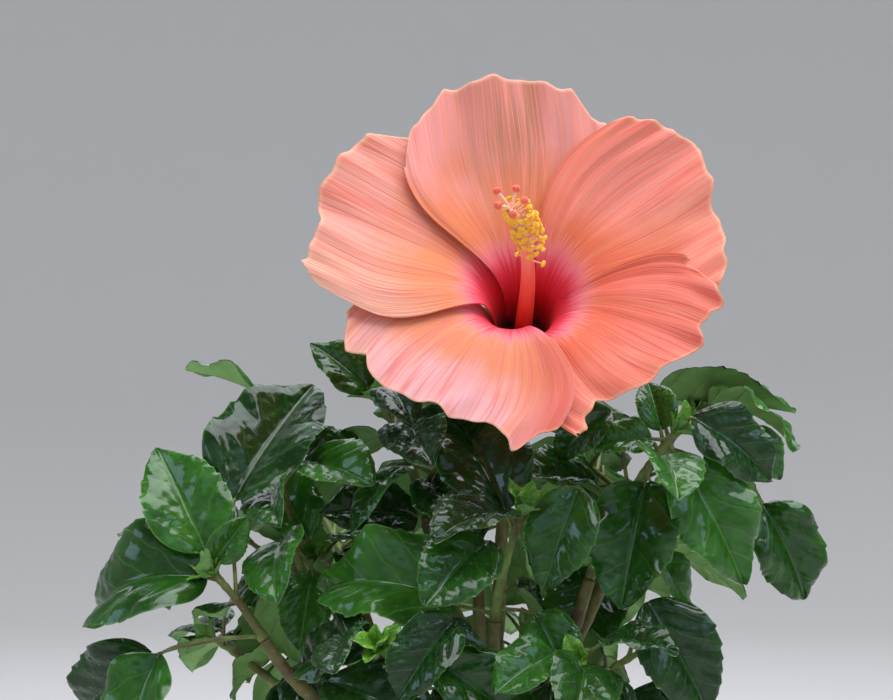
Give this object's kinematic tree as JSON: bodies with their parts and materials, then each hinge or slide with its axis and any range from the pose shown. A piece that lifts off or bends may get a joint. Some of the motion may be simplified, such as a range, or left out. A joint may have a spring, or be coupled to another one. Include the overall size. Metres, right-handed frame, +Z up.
{
  "type": "potted hibiscus bonsai",
  "caption": "Small hibiscus bonsai in a plain round pot: a short flared trunk, thin boughs with leafy shoots, and a large open flower on top.",
  "frame": {"origin": "centre of the pot's flat underside", "axes": "+Z up, -Y the way the flower faces, +X to the right as the flower is looked at"},
  "size_m": [0.2508, 0.1894, 0.3356],
  "materials": {
    "stoneware": "matte",
    "potting_mix": "matte",
    "bark": "matte",
    "green_shoot": "satin",
    "stamens": "satin",
    "petal": "matte",
    "leaf": "satin"
  },
  "bodies": {
    "root": {"pot": "stoneware", "soil": "potting_mix", "trunk": "bark", "bough_leader": "bark", "bough_left_low": "bark", "bough_left_back": "bark", "bough_centre_left": "bark", "bough_centre_front": "bark", "bough_right_front": "bark", "bough_right_back": "bark", "bough_low_right": "bark", "bough_front_low": "bark", "bough_back": "bark", "bough_back_right": "bark", "bough_back_left": "bark", "bough_low_back": "bark", "bough_low_left": "bark", "flower_stalk": "green_shoot", "calyx": "green_shoot", "stamen_column": "stamens", "petal_top": "petal", "petal_upper_right": "petal", "petal_lower_right": "petal", "petal_bottom": "petal", "petal_left": "petal", "foliage_left_low": "leaf", "foliage_left_back": "leaf", "foliage_centre_left": "leaf", "foliage_centre_front": "leaf", "foliage_right_front": "leaf", "foliage_right_back": "leaf", "foliage_low_right": "leaf", "foliage_front_low": "leaf", "foliage_back": "leaf", "foliage_back_right": "leaf", "foliage_back_left": "leaf", "foliage_low_back": "leaf", "foliage_low_left": "leaf"}
  },
  "joints": []
}
